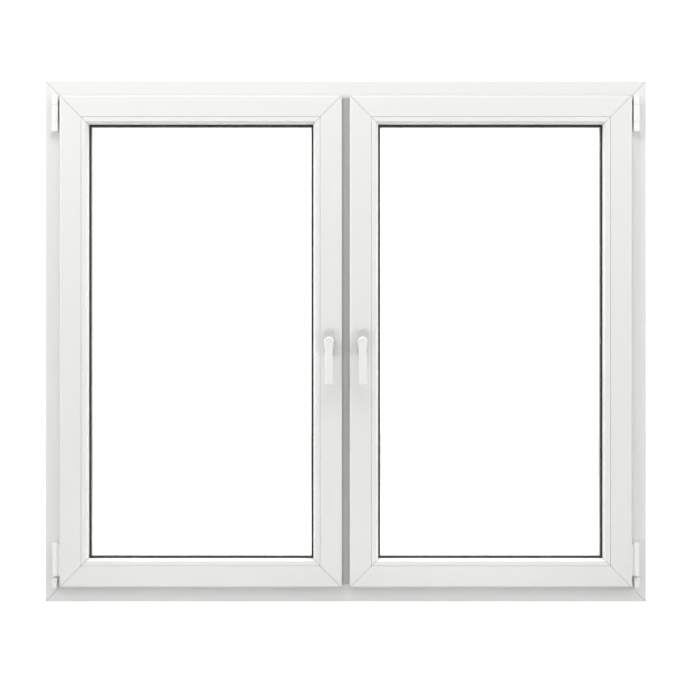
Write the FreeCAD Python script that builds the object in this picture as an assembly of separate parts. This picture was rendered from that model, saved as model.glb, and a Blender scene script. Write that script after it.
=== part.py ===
import FreeCAD, Part
import math
import os

from FreeCAD import Vector

# Double tilt-and-turn window of white PVC: a fixed frame with a mullion, and two sashes hung at its jambs.
# X runs to the right as seen from the room, Y from the room outwards, Z up, all in millimetres.
# The origin is the middle of the frame's bottom face. Profiles are drawn as (u, y), where u is the
# distance inwards from the outer edge of the rectangle that the profile runs round.

# Overall sizes
width = 1500.0
height = 1300.0
depth = 70.0

# Outer frame and mullion profiles
frame_face = 45.0
stop_height = 20.0
stop_thickness = 15.0
mullion_face = 35.0
wall = 3.0
web = 3.0
front_chamber = 9.0
back_chamber_set_in = 4.0
small_round = 1.0
stop_round = 2.0
large_round = 3.0
connector_length = 40.0

# How a sash sits in the frame
lip_overlap = 8.0
hardware_gap = 12.0
sash_front = 18.0
seal_gap = 3.0
seal_clear = 0.3
frame_seal_set_in = 0.5
sash_seal_set_in = 1.5
seal_cut_clearance = 2.0

# Sash profile
sash_face = 54.0
sash_edge_radius = 6.0
bead_width = 17.0
bead_flat = 11.5
bead_set_back = 1.0
bead_slope = 8.0
bead_clip_depth = 4.0
bead_clip_width = 3.2
bead_clip_place = 8.0
bead_wall = 2.2
bead_step = 0.9
bead_corner = 0.8
step_corner = 0.4
slope_corner = 1.5
clip_clearance = 0.2
glass_leg = 12.0

# Glazing
pane_thickness = 4.0
air_gap = 16.0
glazing_gasket = 3.0
gasket_show = 5.0
gasket_set_in = 3.0
glass_edge_gap = 5.0
sealant_depth = 11.0
spacer_height = 7.0
block_length = 100.0

# Steel reinforcement
steel_wall = 2.0
steel_clearance = 0.5
steel_set_back = 70.0

# Locking gear in the sash groove
faceplate_width = 16.0
faceplate_thickness = 2.5
channel_width = 10.0
channel_depth = 3.6
rod_thickness = 2.6
rod_clearance = 0.4
groove_from_sash_back = 39.0
cam_radius = 4.0
cam_shank = 2.5
cam_reach = 7.5
rod_travel = 22.0
gear_case_height = 150.0
gear_case_depth = 16.6
gear_clearance = 0.2
case_end_clearance = 0.5
case_back_clearance = 0.3
case_to_spindle_end = 3.0
rod_past_cam = 40.0
plate_past_rod = 20.0
stay_plate_past_slide = 60.0
cam_head = 2.0
cam_slot_clearance = 0.6
plate_clearance = 0.1
cam_places = (0.16, 0.37, 0.63, 0.84)
striker_thickness = 2.5
striker_lip = 1.2
striker_length = 56.0
striker_lip_width = 2.5
striker_reach = (10.0, 9.0)

# Handle
handle_in = 32.0
rosette_width = 28.5
rosette_height = 64.5
rosette_thickness = 11.0
rosette_wall = 1.8
rosette_front = 2.8
rosette_corner = 13.9
rosette_edge = 4.0
boss_wall = 2.5
neck_radius = 8.5
neck_short_of_sash = 1.0
running_clearance = 0.06
spindle_square = 7.0
spindle_corner = 4.6
spindle_hole_clearance = 1.4
spindle_in_lever = 12.0
lever_head_radius = 11.75
lever_width = 18.0
lever_reach = 108.0
lever_stand_off = 21.0
lever_shoulder = 2.2
lever_thickness = 15.0
lever_edge = 4.0
rosette_screw_spacing = 43.0
screw_radius = 2.5
screw_head_radius = 4.5
screw_head_height = 3.0
screw_in_case = 6.0
screw_slot_half = 0.6
screw_slot_depth = 1.5

# Hinges
hinge_out = 12.5
barrel_radius = 8.5
sleeve_radius = 6.4
pin_radius = 3.0
hinge_stud_radius = 2.5
stud_from_pin = 1.0
cup_stud_rise = 2.0
stay_bearing_height = 90.4
stay_top_knuckle = 23.4
stay_bottom_knuckle = 24.5
knuckle_gap = 0.3
knuckle_base_half = 6.0
knuckle_edge = 2.0
knuckle_over_sash_face = 1.0
pin_short_of_bearing = (1.5, 2.0)
stay_arm_length = 300.0
stay_arm_width = 12.0
stay_arm_thickness = 3.0
stay_arm_rise = 3.5
crank_clearance = 0.6
crank_side_clearance = 0.5
crank_past_rebate = 5.0
crank_above_barrel_foot = 6.0
slide_clearance = 1.9
slide_end_clearance = (2.0, 1.0)
tilt_height = 5.0
tilt_angle = 7.0
sleeve_bottom = 28.2
sleeve_height = 83.7
sleeve_edge = 2.0
sleeve_block_set_in = (0.5, 1.5, 1.0, 4.0)
pin_below_sleeve_top = 20.0
pin_end_clearance = 0.5
cup_top = 23.4
cup_radius_top = 7.6
cup_radius_bottom = 5.2
trunnion_length = 8.0
trunnion_end_clearance = 0.3
cup_wall_at_foot = 0.4
pin_slot_clearance = 0.4

# Fixings and drainage
fixing_radius = 4.0
fixing_from_end = 150.0
head_fixing_spacing = 750.0
drain_width = 28.0
drain_height = 5.0
drain_spacing = 450.0
drain_from_middle = 562.5
cap_size = (44.0, 5.0, 14.0)
cap_edge = 2.0

# How far a cutting tool runs past what it cuts, and how closely edges are told apart
past = 1.0
near = 0.01

# Depth positions that everything shares
y_face = -depth / 2
y_back = depth / 2
y_stop = y_back - stop_thickness
y_lip = y_face - seal_gap
y_room = y_face - sash_front
y_sash_back = y_stop - seal_gap
y_leg = y_sash_back - glass_leg
y_glass_out = y_leg - glazing_gasket
y_glass_room = y_glass_out - 2 * pane_thickness - air_gap
y_bead_back = y_glass_room - glazing_gasket
y_groove = y_sash_back - groove_from_sash_back
y_hinge = y_face - seal_gap - barrel_radius + knuckle_over_sash_face
lip_width = lip_overlap + hardware_gap

# Rectangles as (x low, x high, z low, z high)
frame_rect = (-width / 2, width / 2, 0.0, height)
left_rebate = (-width / 2 + frame_face, -mullion_face / 2, frame_face, height - frame_face)
left_sash = (
    left_rebate[0] - lip_overlap,
    left_rebate[1] + lip_overlap,
    left_rebate[2] - lip_overlap,
    left_rebate[3] + lip_overlap,
)
x_hinge = left_sash[0] - hinge_out
x_handle = left_sash[1] - handle_in
z_handle = (left_sash[2] + left_sash[3]) / 2
z_tilt = left_sash[2] + tilt_height

parts = {}


def keep(name, *solids):
    """Store one node: a single solid, or several separate ones."""
    parts[name] = solids[0] if len(solids) == 1 else Part.makeCompound(list(solids))


def box(x0, x1, y0, y1, z0, z1):
    return Part.makeBox(x1 - x0, y1 - y0, z1 - z0, Vector(x0, y0, z0))


def rod(radius, start, end):
    """A round bar from one point to another."""
    run = Vector(*end) - Vector(*start)
    return Part.makeCylinder(radius, run.Length, Vector(*start), run)


def rounded_wire(points):
    """A closed outline in the (u, y) plane. Each point is (u, y, radius of its rounded corner)."""
    edges = []
    ends = []
    count = len(points)
    for i, (u, y, radius) in enumerate(points):
        corner = Vector(0, y, u)
        if radius == 0:
            ends.append((corner, corner))
            continue
        before = Vector(0, points[i - 1][1], points[i - 1][0]) - corner
        after = Vector(0, points[(i + 1) % count][1], points[(i + 1) % count][0]) - corner
        before.normalize()
        after.normalize()
        half = before.getAngle(after) / 2
        start = corner + before * (radius / math.tan(half))
        end = corner + after * (radius / math.tan(half))
        middle = before + after
        middle.normalize()
        top = corner + middle * (radius / math.sin(half) - radius)
        edges.append(Part.Arc(start, top, end).toShape())
        ends.append((start, end))
    for i in range(count):
        start = ends[i][1]
        end = ends[(i + 1) % count][0]
        if start.distanceToPoint(end) > near / 1000:
            edges.append(Part.makeLine(start, end))
    return Part.Wire(Part.__sortEdges__(edges))


def sharp(points):
    return [(u, y, 0) for u, y in points]


def rectangle(u0, u1, y0, y1):
    return sharp([(u0, y0), (u1, y0), (u1, y1), (u0, y1)])


def profile(outline, chambers):
    """A hollow profile's cross-section."""
    wires = [rounded_wire(points) for points in [outline] + chambers]
    return Part.makeFace(wires, "Part::FaceMakerBullseye")


SIDES = {"bottom": 0, "right": -90, "top": 180, "left": 90}


def on_side(shape, rect, side):
    """Turn a bar that was made along +X from the origin to one side of a rectangle."""
    x0, x1, z0, z1 = rect
    corner = {"bottom": (x0, z0), "right": (x1, z0), "top": (x1, z1), "left": (x0, z1)}[side]
    turned = shape.copy()
    turned.rotate(Vector(0, 0, 0), Vector(0, 1, 0), SIDES[side])
    turned.translate(Vector(corner[0], 0, corner[1]))
    return turned


def mitred_bar(section, rect, side):
    """One profile bar of a rectangle, cut at 45 degrees at both ends."""
    x0, x1, z0, z1 = rect
    length = x1 - x0 if side in ("bottom", "top") else z1 - z0
    reach = section.BoundBox.ZMax + past
    bar = section.extrude(Vector(length, 0, 0))
    corners = [(0, 0), (length, 0), (length - reach, reach), (reach, reach)]
    deep = 2 * depth
    outline = [Vector(x, -deep, z) for x, z in corners + corners[:1]]
    saw = Part.Face(Part.makePolygon(outline)).extrude(Vector(0, 2 * deep, 0))
    return on_side(bar.common(saw), rect, side)


def side_box(rect, side, a0, a1, u0, u1, y0, y1):
    """A box on one side of a rectangle: a is X or Z along the side, u is measured inwards."""
    x0, x1, z0, z1 = rect
    if side == "bottom":
        return box(a0, a1, y0, y1, z0 + u0, z0 + u1)
    if side == "top":
        return box(a0, a1, y0, y1, z1 - u1, z1 - u0)
    if side == "left":
        return box(x0 + u0, x0 + u1, y0, y1, a0, a1)
    return box(x1 - u1, x1 - u0, y0, y1, a0, a1)


def side_span(rect, side, set_back):
    """The two ends of a side, each moved in by a set-back."""
    x0, x1, z0, z1 = rect
    if side in ("bottom", "top"):
        return x0 + set_back, x1 - set_back
    return z0 + set_back, z1 - set_back


def ring(rect, u0, u1, y0, y1):
    """A closed ring of rectangular section round the inside of a rectangle."""
    x0, x1, z0, z1 = rect
    outer = box(x0 + u0, x1 - u0, y0, y1, z0 + u0, z1 - u0)
    inner = box(x0 + u1, x1 - u1, y0 - past, y1 + past, z0 + u1, z1 - u1)
    return outer.cut(inner)


def steel_tube(rect, side, chamber, set_back):
    """A square steel tube that lies in a profile's main chamber."""
    u0, u1, y0, y1 = chamber
    a0, a1 = side_span(rect, side, set_back)
    c = steel_clearance
    outer = side_box(rect, side, a0, a1, u0 + c, u1 - c, y0 + c, y1 - c)
    c += steel_wall
    return outer.cut(side_box(rect, side, a0 - past, a1 + past, u0 + c, u1 - c, y0 + c, y1 - c))


def mirrored(shape):
    return shape.mirror(Vector(0, 0, 0), Vector(1, 0, 0))


def cut_all(shape, tools):
    for tool in tools:
        shape = shape.cut(tool)
    return shape


# Outer frame: four hollow bars, each with a room face, a rebate and a stop that the sash closes against.
y_steel = (y_face + wall + front_chamber + web, y_stop - wall - web - back_chamber_set_in)
frame_outline = [
    (0, y_back, small_round),
    (0, y_face, small_round),
    (frame_face, y_face, large_round),
    (frame_face, y_stop, 0),
    (frame_face + stop_height, y_stop, stop_round),
    (frame_face + stop_height, y_back, large_round),
]
frame_chambers = [
    rectangle(wall, frame_face - wall, y_face + wall, y_steel[0] - web),
    rectangle(wall, frame_face - wall, y_steel[0], y_steel[1]),
    rectangle(wall, frame_face - wall, y_steel[1] + web, y_back - wall),
    rectangle(frame_face, frame_face + stop_height - wall, y_stop + wall, y_back - wall),
]
frame_section = profile(frame_outline, frame_chambers)
frame_steel_chamber = (wall, frame_face - wall, y_steel[0], y_steel[1])
frame_bars = {side: mitred_bar(frame_section, frame_rect, side) for side in SIDES}
frame_steel = {side: steel_tube(frame_rect, side, frame_steel_chamber, steel_set_back) for side in SIDES}

# Holes for the wall fixings, drilled through the bars and their steel from the rebate.
y_fixing = (y_steel[0] + y_steel[1]) / 2
jamb_holes = []
for z in (fixing_from_end, height - fixing_from_end):
    for sign in (-1, 1):
        outer_end = (sign * (width / 2 + past), y_fixing, z)
        inner_end = (sign * (width / 2 - frame_face - past), y_fixing, z)
        jamb_holes.append(rod(fixing_radius, outer_end, inner_end))
head_holes = []
for x in (-head_fixing_spacing / 2, head_fixing_spacing / 2):
    inner_end = (x, y_fixing, height - frame_face - past)
    head_holes.append(rod(fixing_radius, inner_end, (x, y_fixing, height + past)))

# Drain slots: water leaves the rebate through the sill's floor and out through its front wall.
drain_x = [sign * x for sign in (-1, 1) for x in (drain_spacing / 2, drain_from_middle)]
z_drain = wall + drain_height
drains = []
caps = []
for x in drain_x:
    half = drain_width / 2
    outlet_y = (y_back - wall - past, y_back + past)
    drains.append(box(x - half, x + half, *outlet_y, z_drain, z_drain + drain_height))
    y_slot = y_stop - drain_height
    drains.append(box(x - half, x + half, y_slot, y_stop, frame_face - wall - past, frame_face + past))
    half = cap_size[0] / 2
    cap_z = z_drain + drain_height / 2 - cap_size[2] / 2
    cap = box(x - half, x + half, y_back, y_back + cap_size[1], cap_z, cap_z + cap_size[2])
    front_edges = [e for e in cap.Edges if e.BoundBox.YMin > y_back + cap_size[1] - near]
    cap = cap.makeFillet(cap_edge, front_edges)
    half = drain_width / 2
    hollow_y = (y_back - past, y_back + cap_size[1] / 2)
    mouth = box(x - half, x + half, *hollow_y, z_drain, z_drain + drain_height)
    outlet = box(x - half, x + half, *hollow_y, 0, z_drain + past)
    caps.append(cap.cut(mouth).cut(outlet))
keep("drain_caps", *caps)

# Hinge studs hold the bearings to the jambs and run into the steel.
stay_top = left_sash[3]
stay_bottom = stay_top - stay_bearing_height
z_top_knuckle = stay_top - stay_top_knuckle
z_bottom_knuckle = stay_bottom + stay_bottom_knuckle
z_cup_top = left_sash[2] + cup_top
stud_start = y_hinge + pin_radius + stud_from_pin
stud_end = y_steel[0] + steel_clearance + steel_wall
stud_heights = (
    (z_top_knuckle + stay_top) / 2,
    (stay_bottom + z_bottom_knuckle) / 2,
    (z_tilt + pin_radius + z_cup_top) / 2 + cup_stud_rise,
)
left_studs = []
for z in stud_heights:
    left_studs.append(rod(hinge_stud_radius, (x_hinge, stud_start, z), (x_hinge, stud_end, z)))
right_studs = [mirrored(stud) for stud in left_studs]
keep("hinge_studs", *left_studs, *right_studs)

keep("frame_sill", cut_all(frame_bars["bottom"], drains))
keep("frame_head", cut_all(frame_bars["top"], head_holes))
keep("frame_jamb_left", cut_all(frame_bars["left"], jamb_holes + left_studs))
keep("frame_jamb_right", cut_all(frame_bars["right"], jamb_holes + right_studs))

# Mullion: a T-shaped bar that both sashes close against, with steel and an end connector at each end.
half = mullion_face / 2
leg = half + stop_height
mullion_outline = [
    (-half, y_face, large_round),
    (half, y_face, large_round),
    (half, y_stop, 0),
    (leg, y_stop, stop_round),
    (leg, y_back, large_round),
    (-leg, y_back, large_round),
    (-leg, y_stop, stop_round),
    (-half, y_stop, 0),
]
mullion_chambers = [
    rectangle(-half + wall, half - wall, y_face + wall, y_steel[0] - web),
    rectangle(-half + wall, half - wall, y_steel[0], y_steel[1]),
    rectangle(-half + wall, half - wall, y_steel[1] + web, y_back - wall),
    rectangle(half, leg - wall, y_stop + wall, y_back - wall),
    rectangle(-leg + wall, -half, y_stop + wall, y_back - wall),
]
mullion_length = height - 2 * frame_face
mullion = profile(mullion_outline, mullion_chambers).extrude(Vector(mullion_length, 0, 0))
mullion.rotate(Vector(0, 0, 0), Vector(0, 1, 0), -90)
mullion.translate(Vector(0, 0, frame_face))
for z0, z1 in ((0, frame_face + stop_height), (height - frame_face - stop_height, height)):
    mullion = mullion.cut(box(-leg - past, leg + past, y_stop, y_back + past, z0, z1))
keep("mullion", mullion)

c = steel_clearance
z_low = frame_face + connector_length
z_high = height - frame_face - connector_length
tube = box(-half + wall + c, half - wall - c, y_steel[0] + c, y_steel[1] - c, z_low, z_high)
c += steel_wall
hollow_x = (-half + wall + c, half - wall - c)
hollow = box(*hollow_x, y_steel[0] + c, y_steel[1] - c, z_low - past, z_high + past)
mullion_steel = tube.cut(hollow)
c = steel_clearance
connectors = []
for z0, z1 in ((frame_face, z_low), (z_high, height - frame_face)):
    connectors.append(box(-half + wall + c, half - wall - c, y_steel[0] + c, y_steel[1] - c, z0, z1))

frame_tubes = [
    frame_steel["bottom"],
    cut_all(frame_steel["top"], head_holes),
    cut_all(frame_steel["left"], jamb_holes + left_studs),
    cut_all(frame_steel["right"], jamb_holes + right_studs),
    mullion_steel,
]
keep("frame_reinforcement", *frame_tubes, *connectors)

# Frame seals: one black rubber ring round each opening, on the stop.
seal_from = hardware_gap + frame_seal_set_in
seal_to = stop_height - small_round
left_frame_seal = ring(left_rebate, seal_from, seal_to, y_sash_back + seal_clear, y_stop)
keep("frame_seals", left_frame_seal, mirrored(left_frame_seal))

# Sash profile: lip over the frame, groove for the gear, glazing rebate with a slot for the bead clip.
y_clip = y_room + bead_clip_place
clip_half = bead_clip_width / 2
plate_half = faceplate_width / 2
channel_half = channel_width / 2
plate_floor = lip_width + faceplate_thickness
channel_floor = plate_floor + channel_depth
glass_stop = sash_face + bead_width
sash_outline = [
    (0, y_lip, small_round),
    (0, y_room, sash_edge_radius),
    (sash_face, y_room, bead_corner),
    (sash_face, y_clip - clip_half, 0),
    (sash_face - bead_clip_depth, y_clip - clip_half, 0),
    (sash_face - bead_clip_depth, y_clip + clip_half, 0),
    (sash_face, y_clip + clip_half, 0),
    (sash_face, y_leg, 0),
    (glass_stop, y_leg, small_round),
    (glass_stop, y_sash_back, large_round),
    (lip_width, y_sash_back, small_round),
    (lip_width, y_groove + plate_half, 0),
    (plate_floor, y_groove + plate_half, 0),
    (plate_floor, y_groove + channel_half, 0),
    (channel_floor, y_groove + channel_half, 0),
    (channel_floor, y_groove - channel_half, 0),
    (plate_floor, y_groove - channel_half, 0),
    (plate_floor, y_groove - plate_half, 0),
    (lip_width, y_groove - plate_half, 0),
    (lip_width, y_lip, 0),
]
chamber_end = sash_face - bead_clip_depth - web
sash_steel_chamber = (channel_floor + web, chamber_end, y_lip, y_leg - 2 * wall - small_round)
outer_chamber_start = sash_steel_chamber[3] + web
sash_chambers = [
    rectangle(wall, chamber_end, y_room + wall, y_lip - web),
    rectangle(sash_steel_chamber[0], chamber_end, y_lip, sash_steel_chamber[3]),
    rectangle(lip_width + wall, chamber_end, outer_chamber_start, y_sash_back - wall),
    rectangle(chamber_end + web, glass_stop - wall, y_leg + wall, y_sash_back - wall),
]
sash_section = profile(sash_outline, sash_chambers)
sash_bars = {side: mitred_bar(sash_section, left_sash, side) for side in SIDES}
sash_steel = {side: steel_tube(left_sash, side, sash_steel_chamber, steel_set_back) for side in SIDES}

# Gear case in the lock stile, reached by the spindle and clamped by the rosette screws.
y_case_room = y_groove - plate_half + gear_clearance
y_case_out = y_groove + plate_half - gear_clearance
case_start = channel_floor + gear_clearance
case_end = case_start + gear_case_depth
z_case = (z_handle - gear_case_height / 2, z_handle + gear_case_height / 2)
case_pocket = side_box(
    left_sash,
    "right",
    z_case[0] - case_end_clearance,
    z_case[1] + case_end_clearance,
    lip_width - past,
    case_end + case_back_clearance,
    y_groove - plate_half,
    y_groove + plate_half,
)
spindle_end = y_groove + plate_half - case_to_spindle_end
spindle_bore = rod(
    spindle_corner + running_clearance,
    (x_handle, y_case_room - past, z_handle),
    (x_handle, spindle_end + past, z_handle),
)
spindle_hole = rod(
    spindle_corner + spindle_hole_clearance,
    (x_handle, y_room - past, z_handle),
    (x_handle, y_case_room, z_handle),
)
screw_end = y_case_room + screw_in_case
y_slot_end = y_room - screw_slot_depth
arm = screw_head_height
thin = screw_slot_half
rosette_screws = []
for z in (z_handle - rosette_screw_spacing / 2, z_handle + rosette_screw_spacing / 2):
    head = rod(screw_head_radius, (x_handle, y_room - screw_head_height, z), (x_handle, y_room, z))
    slot_y = (y_room - screw_head_height - past, y_slot_end)
    cross = box(x_handle - thin, x_handle + thin, *slot_y, z - arm, z + arm)
    cross = cross.fuse(box(x_handle - arm, x_handle + arm, *slot_y, z - thin, z + thin))
    shank = rod(screw_radius, (x_handle, y_slot_end, z), (x_handle, screw_end, z))
    rosette_screws.append(head.fuse(shank).cut(cross).removeSplitter())
screw_holes = []
for z in (z_handle - rosette_screw_spacing / 2, z_handle + rosette_screw_spacing / 2):
    screw_holes.append(rod(screw_radius, (x_handle, y_room - past, z), (x_handle, screw_end, z)))

gear_case = side_box(left_sash, "right", *z_case, case_start, case_end, y_case_room, y_case_out)
gear_case = cut_all(gear_case, [spindle_bore] + screw_holes)
lock_stile = cut_all(sash_bars["right"], [case_pocket, spindle_hole] + screw_holes)
lock_steel = cut_all(sash_steel["right"], [case_pocket, spindle_hole] + screw_holes)

# Glazing beads: hollow bars with a stepped, sloping front and a clip foot.
y_bead = y_room + bead_set_back
foot = bead_clip_depth - clip_clearance
foot_half = clip_half - clip_clearance / 2
bead_outline = [
    (sash_face, y_bead, bead_corner),
    (sash_face + bead_flat, y_bead, step_corner),
    (sash_face + bead_flat, y_bead + bead_step, 0),
    (glass_stop, y_bead + bead_slope, slope_corner),
    (glass_stop, y_bead_back, 0),
    (sash_face, y_bead_back, 0),
    (sash_face, y_clip + foot_half, 0),
    (sash_face - foot, y_clip + foot_half, 0),
    (sash_face - foot, y_clip - foot_half, 0),
    (sash_face, y_clip - foot_half, 0),
]
bead_chamber = sharp(
    [
        (sash_face + bead_wall, y_bead + bead_wall + bead_step),
        (sash_face + bead_flat - bead_step, y_bead + bead_wall + bead_step),
        (glass_stop - bead_wall, y_bead + bead_slope + bead_step),
        (glass_stop - bead_wall, y_bead_back - bead_wall),
        (sash_face + bead_wall, y_bead_back - bead_wall),
    ]
)
bead_section = profile(bead_outline, [bead_chamber])
beads = [mitred_bar(bead_section, left_sash, side) for side in SIDES]

# Double glazing unit and what holds it.
glass_edge = sash_face + glass_edge_gap
spacer_from = glass_edge + sealant_depth
spacer_to = spacer_from + spacer_height
y_air = (y_glass_room + pane_thickness, y_glass_out - pane_thickness)
x0, x1, z0, z1 = left_sash
glass_x = (x0 + glass_edge, x1 - glass_edge)
glass_z = (z0 + glass_edge, z1 - glass_edge)
pane_inner = box(*glass_x, y_glass_room, y_air[0], *glass_z)
pane_outer = box(*glass_x, y_air[1], y_glass_out, *glass_z)
gasket_to = glass_stop + gasket_show
gasket_inner = ring(left_sash, glass_edge + gasket_set_in, gasket_to, y_bead_back, y_glass_room)
gasket_outer = ring(left_sash, glass_edge + gasket_set_in, gasket_to, y_glass_out, y_leg)
blocks = []
block_from = glass_edge + block_length / 2
for side in ("bottom", "top"):
    for a0 in (x0 + block_from, x1 - block_from - block_length):
        ends = (a0, a0 + block_length)
        blocks.append(side_box(left_sash, side, *ends, sash_face, glass_edge, y_glass_room, y_glass_out))
for side, a0 in (("left", z0 + block_from), ("right", z1 - block_from - block_length)):
    ends = (a0, a0 + block_length)
    blocks.append(side_box(left_sash, side, *ends, sash_face, glass_edge, y_glass_room, y_glass_out))

# Stay arm: it carries the sash's upper corner. Its barrel turns on the pin between the two frame
# knuckles, a crank passes behind the sash's lip, and its far end slides in the top rail's groove.
z_body_top = left_sash[3] - lip_width
z_arm = (z_body_top + stay_arm_rise, z_body_top + stay_arm_rise + stay_arm_thickness)
z_arm_barrel = (z_bottom_knuckle + knuckle_gap, z_top_knuckle - knuckle_gap)
crank_y = (y_lip + crank_clearance, y_face - crank_clearance)
crank_x = (x_hinge + knuckle_base_half + crank_side_clearance, left_rebate[0] + crank_past_rebate)
web_x = (left_rebate[0] + crank_clearance, left_rebate[0] + crank_clearance + stay_arm_width)
z_crank = (z_arm_barrel[0] + crank_above_barrel_foot, z_arm[1])
x_stud = x_hinge + stay_arm_length
arm_y = (y_groove - stay_arm_width / 2, y_groove + stay_arm_width / 2)
arm_barrel = rod(barrel_radius, (x_hinge, y_hinge, z_arm_barrel[0]), (x_hinge, y_hinge, z_arm_barrel[1]))
crank_low = box(*crank_x, *crank_y, z_crank[0], z_crank[1])
barrel_bridge = box(x_hinge, crank_x[0] + past, y_hinge, crank_y[1], z_crank[0], z_arm_barrel[1])
crank_top = box(crank_x[0], web_x[1], *crank_y, *z_arm)
crank_web = box(*web_x, crank_y[0], arm_y[1], *z_arm)
arm_bar = box(web_x[0], x_stud, *arm_y, *z_arm)
arm_end = rod(stay_arm_width / 2, (x_stud, y_groove, z_arm[0]), (x_stud, y_groove, z_arm[1]))
stud_foot = z_body_top - faceplate_thickness - channel_depth + crank_side_clearance
slide_stud = rod(pin_radius, (x_stud, y_groove, stud_foot), (x_stud, y_groove, z_arm[0] + past))
stay_arm = arm_barrel
for piece in (barrel_bridge, crank_low, crank_top, crank_web, arm_bar, arm_end, slide_stud):
    stay_arm = stay_arm.fuse(piece)
pin_bore = rod(
    pin_radius + running_clearance / 2,
    (x_hinge, y_hinge, stay_bottom - past),
    (x_hinge, y_hinge, stay_top - pin_short_of_bearing[0]),
)
stay_arm = stay_arm.cut(pin_bore).removeSplitter()
stay_pin = rod(
    pin_radius,
    (x_hinge, y_hinge, stay_bottom + pin_short_of_bearing[0]),
    (x_hinge, y_hinge, stay_top - pin_short_of_bearing[1]),
)

# Stay bearing on the frame: an upper and a lower knuckle, each a rounded barrel on a base.
knuckles = []
for low, high in ((stay_bottom, z_bottom_knuckle), (z_top_knuckle, stay_top)):
    barrel = rod(barrel_radius, (x_hinge, y_hinge, low), (x_hinge, y_hinge, high))
    outer_rims = [e for e in barrel.Edges if e.Closed and abs(e.BoundBox.ZMin - stay_bottom) < near]
    outer_rims += [e for e in barrel.Edges if e.Closed and abs(e.BoundBox.ZMax - stay_top) < near]
    barrel = barrel.makeFillet(knuckle_edge, outer_rims)
    half = knuckle_base_half
    base = box(x_hinge - half, x_hinge + half, y_hinge, y_face, low + small_round, high - small_round)
    knuckles.append(cut_all(barrel.fuse(base), [pin_bore] + left_studs).removeSplitter())

# Sash seal: a rubber ring on the back of the lip, cut away where the stay arm's crank passes.
sash_seal = ring(left_sash, sash_seal_set_in, lip_overlap - small_round, y_lip, y_face - 2 * seal_clear)
cut_x = (crank_x[0] - seal_cut_clearance, web_x[1] + seal_cut_clearance)
cut_z = (z_crank[0] - seal_cut_clearance, z_crank[1] + seal_cut_clearance)
crank_way = box(*cut_x, y_lip - past, y_face, *cut_z)
sash_seal = sash_seal.cut(crank_way)

# Corner bearing: a tapered cup on the frame holds the pin's cross trunnion, so that the pin can tilt.
cup = Part.makeCone(
    cup_radius_bottom,
    cup_radius_top,
    z_cup_top - left_sash[2],
    Vector(x_hinge, y_hinge, left_sash[2]),
)
half = cup_radius_bottom - cup_wall_at_foot
cup = cup.fuse(box(x_hinge - half, x_hinge + half, y_hinge, y_face, left_sash[2], z_cup_top - small_round))
half = pin_radius + pin_slot_clearance
slot_top = z_cup_top + past
swing = (slot_top - z_tilt) * math.tan(math.radians(tilt_angle))
slot_corners = [
    Vector(x_hinge - half, y_hinge + half, z_tilt),
    Vector(x_hinge - half, y_hinge + half, slot_top),
    Vector(x_hinge - half, y_hinge - half - swing, slot_top),
    Vector(x_hinge - half, y_hinge - half, z_tilt),
]
pin_slot = Part.Face(Part.makePolygon(slot_corners + slot_corners[:1])).extrude(Vector(2 * half, 0, 0))
trunnion_half = trunnion_length / 2
trunnion_bore = rod(
    pin_radius + running_clearance / 2,
    (x_hinge - trunnion_half - trunnion_end_clearance, y_hinge, z_tilt),
    (x_hinge + trunnion_half + trunnion_end_clearance, y_hinge, z_tilt),
)
cup = cut_all(cup, [pin_slot, trunnion_bore] + left_studs).removeSplitter()
z_sleeve = left_sash[2] + sleeve_bottom
z_sleeve_top = z_sleeve + sleeve_height
z_pin_top = z_sleeve_top - pin_below_sleeve_top
corner_pin = rod(pin_radius, (x_hinge, y_hinge, z_tilt), (x_hinge, y_hinge, z_pin_top))
trunnion = rod(
    pin_radius, (x_hinge - trunnion_half, y_hinge, z_tilt), (x_hinge + trunnion_half, y_hinge, z_tilt)
)
corner_pin = corner_pin.fuse(trunnion).removeSplitter()

# Hinge sleeve on the sash: a round barrel on the pin, with a block against the sash's edge.
sleeve = rod(sleeve_radius, (x_hinge, y_hinge, z_sleeve), (x_hinge, y_hinge, z_sleeve_top))
top_rim = [e for e in sleeve.Edges if e.Closed and abs(e.BoundBox.ZMin - z_sleeve_top) < near]
sleeve = sleeve.makeFillet(sleeve_edge, top_rim)
in_front, in_back, in_foot, in_top = sleeve_block_set_in
block_y = (y_room + sash_edge_radius + in_front, y_lip - in_back)
sleeve = sleeve.fuse(box(x_hinge, left_sash[0], *block_y, z_sleeve + in_foot, z_sleeve_top - in_top))
sleeve_bore = rod(
    pin_radius + running_clearance / 2,
    (x_hinge, y_hinge, z_sleeve - past),
    (x_hinge, y_hinge, z_pin_top + pin_end_clearance),
)
sleeve = sleeve.cut(sleeve_bore).removeSplitter()

# Drive rod with four mushroom cams, and the faceplates with the slots that the cams and stay run in.
sash_height = left_sash[3] - left_sash[2]
cam_heights = [left_sash[2] + sash_height * share for share in cam_places]
rod_from = channel_floor - rod_clearance - rod_thickness
z_rod = (cam_heights[0] - rod_past_cam, cam_heights[-1] + rod_past_cam)
rod_half = channel_half - rod_clearance
rod_y = (y_groove - rod_half, y_groove + rod_half)
drive_rod = side_box(left_sash, "right", *z_rod, rod_from, rod_from + rod_thickness, *rod_y)
x_edge = left_sash[1] - lip_width
x_rod = left_sash[1] - rod_from - past
for z in cam_heights:
    drive_rod = drive_rod.fuse(rod(cam_shank, (x_rod, y_groove, z), (x_edge + cam_reach, y_groove, z)))
    head = rod(cam_radius, (x_edge + cam_reach - cam_head, y_groove, z), (x_edge + cam_reach, y_groove, z))
    drive_rod = drive_rod.fuse(head)
drive_rod = drive_rod.removeSplitter()

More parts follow.
